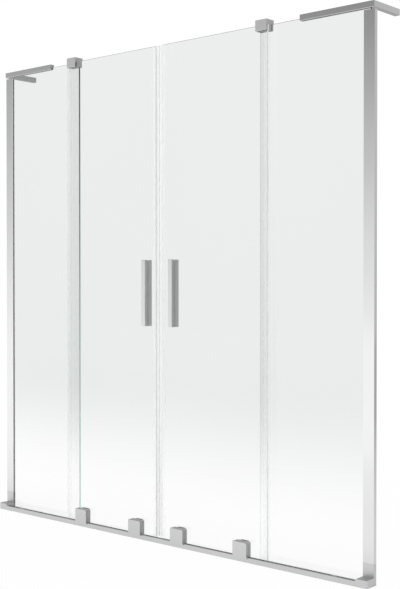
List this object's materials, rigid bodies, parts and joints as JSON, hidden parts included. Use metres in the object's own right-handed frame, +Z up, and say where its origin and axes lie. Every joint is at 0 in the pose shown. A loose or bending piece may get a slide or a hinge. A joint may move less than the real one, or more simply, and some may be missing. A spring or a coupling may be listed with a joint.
{
  "type": "sliding bath screen",
  "caption": "Frameless sliding bath screen: fixed glass panels at the walls, glass doors that part in the middle on wheeled carriages in a low rail, with top brackets and bar handles.",
  "frame": {"origin": "on the bath rim under the middle of the bottom rail, in the mid-plane of the doors' glass", "axes": "+X along the screen to the right as seen from the room, +Y from the room to the bath, +Z up"},
  "size_m": [1.48, 0.1611, 1.503],
  "materials": {
    "chrome": "polished",
    "polished_aluminium": "polished",
    "clear_glass": "clear",
    "clear_vinyl": "clear",
    "pale_vinyl": "satin",
    "white_magnet": "matte",
    "white_plastic": "satin",
    "grey_plastic": "satin",
    "grey_rubber": "matte",
    "steel": "brushed"
  },
  "bodies": {
    "frame": {"bottom_rail": "polished_aluminium", "rail_stops": "grey_rubber", "corner_block_left": "chrome", "wall_profile_left": "polished_aluminium", "glazing_gasket_left": "pale_vinyl", "fixed_glass_left": "clear_glass", "rim_seal_left": "clear_vinyl", "bracket_left": "chrome", "bracket_screws_left": "steel", "guide_block_left": "chrome", "guide_liner_left": "grey_plastic", "guide_screw_left": "steel", "corner_block_right": "chrome", "wall_profile_right": "polished_aluminium", "glazing_gasket_right": "pale_vinyl", "fixed_glass_right": "clear_glass", "rim_seal_right": "clear_vinyl", "bracket_right": "chrome", "bracket_screws_right": "steel", "guide_block_right": "chrome", "guide_liner_right": "grey_plastic", "guide_screw_right": "steel"},
    "door_left": {"door_glass_left": "clear_glass", "glass_bushes_left": "white_plastic", "handle_outer_left": "chrome", "handle_inner_left": "chrome", "handle_studs_left": "steel", "magnet_seal_left": "clear_vinyl", "magnet_strip_left": "white_magnet", "edge_seal_left": "clear_vinyl", "carriage_left_outer": "chrome", "carriage_axle_left_outer": "steel", "carriage_plate_left_outer": "chrome", "carriage_bolt_left_outer": "steel", "carriage_left_inner": "chrome", "carriage_axle_left_inner": "steel", "carriage_plate_left_inner": "chrome", "carriage_bolt_left_inner": "steel"},
    "wheel_left_outer": {"carriage_wheel_left_outer": "white_plastic"},
    "wheel_left_inner": {"carriage_wheel_left_inner": "white_plastic"},
    "door_right": {"door_glass_right": "clear_glass", "glass_bushes_right": "white_plastic", "handle_outer_right": "chrome", "handle_inner_right": "chrome", "handle_studs_right": "steel", "magnet_seal_right": "clear_vinyl", "magnet_strip_right": "white_magnet", "edge_seal_right": "clear_vinyl", "carriage_right_outer": "chrome", "carriage_axle_right_outer": "steel", "carriage_plate_right_outer": "chrome", "carriage_bolt_right_outer": "steel", "carriage_right_inner": "chrome", "carriage_axle_right_inner": "steel", "carriage_plate_right_inner": "chrome", "carriage_bolt_right_inner": "steel"},
    "wheel_right_outer": {"carriage_wheel_right_outer": "white_plastic"},
    "wheel_right_inner": {"carriage_wheel_right_inner": "white_plastic"}
  },
  "joints": [
    {"name": "door_left_slide", "type": "slide", "parent": "frame", "child": "door_left", "axis": [-1, 0, 0], "range_m": [0, 0.29]},
    {"name": "wheel_left_outer_spin", "type": "hinge", "parent": "door_left", "child": "wheel_left_outer", "pos_m": [-0.326, -0.0105, 0.01905], "axis": [0, 1, 0], "continuous": true},
    {"name": "wheel_left_inner_spin", "type": "hinge", "parent": "door_left", "child": "wheel_left_inner", "pos_m": [-0.087, -0.0105, 0.01905], "axis": [0, 1, 0], "continuous": true},
    {"name": "door_right_slide", "type": "slide", "parent": "frame", "child": "door_right", "axis": [1, 0, 0], "range_m": [0, 0.29]},
    {"name": "wheel_right_outer_spin", "type": "hinge", "parent": "door_right", "child": "wheel_right_outer", "pos_m": [0.326, -0.0105, 0.01905], "axis": [0, 1, 0], "continuous": true},
    {"name": "wheel_right_inner_spin", "type": "hinge", "parent": "door_right", "child": "wheel_right_inner", "pos_m": [0.087, -0.0105, 0.01905], "axis": [0, 1, 0], "continuous": true}
  ],
  "couplings": [
    {"joint": "wheel_left_outer_spin", "follows": "door_left_slide", "rad_per_m": -83.333},
    {"joint": "wheel_left_inner_spin", "follows": "door_left_slide", "rad_per_m": -83.333},
    {"joint": "wheel_right_outer_spin", "follows": "door_right_slide", "rad_per_m": 83.333},
    {"joint": "wheel_right_inner_spin", "follows": "door_right_slide", "rad_per_m": 83.333}
  ]
}
